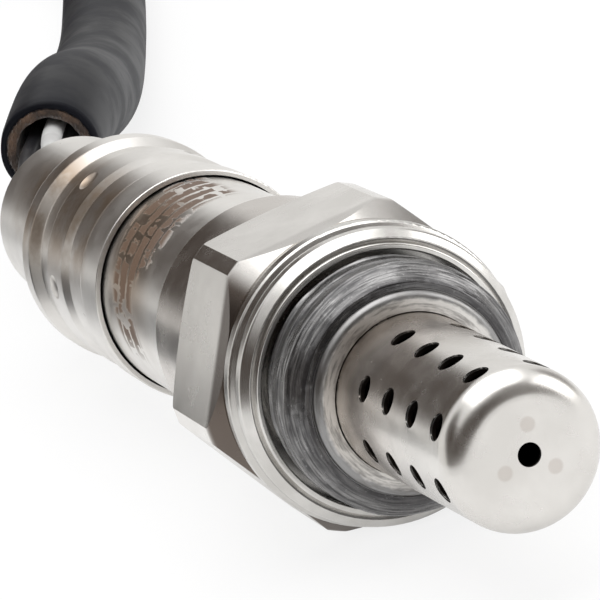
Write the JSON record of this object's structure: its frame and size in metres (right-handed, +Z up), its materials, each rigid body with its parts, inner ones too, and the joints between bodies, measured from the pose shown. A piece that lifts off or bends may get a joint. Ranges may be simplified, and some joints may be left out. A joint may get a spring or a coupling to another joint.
{
  "type": "oxygen sensor",
  "caption": "Screw-in exhaust gas sensor with a perforated protection tube, hexagon, folded gasket, crimped casing and a sleeved lead that ends in a connector.",
  "frame": {"origin": "on the sensor's axis, at the sealing face of the gasket", "axes": "+X along the axis towards the sensing tip, +Z up as the sensor lies on a flat of its hexagon"},
  "size_m": [0.3147, 0.1097, 0.0225],
  "materials": {
    "shell_steel": "satin nickel plate",
    "gasket_steel": "bright pressed steel",
    "thread_paste": "steel thread under dark anti-seize paste",
    "tube_steel": "satin stainless steel",
    "casing_steel": "satin stainless steel with brown heat tint",
    "sleeve_steel": "satin stainless steel",
    "zirconia": "fired ceramic",
    "alumina": "fired ceramic",
    "talc": "pressed powder",
    "contact_nickel": "nickel strip",
    "grommet_rubber": "matt rubber",
    "membrane": "porous white",
    "wire_white": "smooth insulation",
    "wire_black": "smooth insulation",
    "wire_grey": "smooth insulation",
    "cover_black": "smooth satin tube",
    "lining_brown": "woven glass, resin stained",
    "connector_plastic": "moulded plastic",
    "seal_rubber": "soft silicone",
    "pin_metal": "tin plate",
    "lock_plastic": "moulded plastic"
  },
  "bodies": {
    "root": {"casing": "casing_steel", "ceramic_bush": "alumina", "compression_ring": "contact_nickel", "connector_housing": "connector_plastic", "connector_pin_1": "pin_metal", "connector_pin_2": "pin_metal", "connector_pin_3": "pin_metal", "connector_pin_4": "pin_metal", "connector_seal": "seal_rubber", "cover_lining": "lining_brown", "ferrule_1": "contact_nickel", "ferrule_2": "contact_nickel", "ferrule_3": "contact_nickel", "ferrule_4": "contact_nickel", "gasket_ring": "gasket_steel", "heater_contact_1": "contact_nickel", "heater_contact_2": "contact_nickel", "heater_rod": "alumina", "hex_shell": "shell_steel", "inner_contact": "contact_nickel", "inner_protection_tube": "tube_steel", "insulator_spring": "contact_nickel", "outer_contact": "contact_nickel", "outer_protection_tube": "tube_steel", "outer_sleeve": "sleeve_steel", "rubber_grommet": "grommet_rubber", "seat_washer": "contact_nickel", "sensing_element": "zirconia", "talc_ring": "talc", "terminal_insulator": "alumina", "terminal_lock": "lock_plastic", "vent_filter": "membrane", "wire_1": "wire_white", "wire_2": "wire_black", "wire_3": "wire_white", "wire_4": "wire_grey", "wire_cover": "cover_black"}
  },
  "joints": []
}
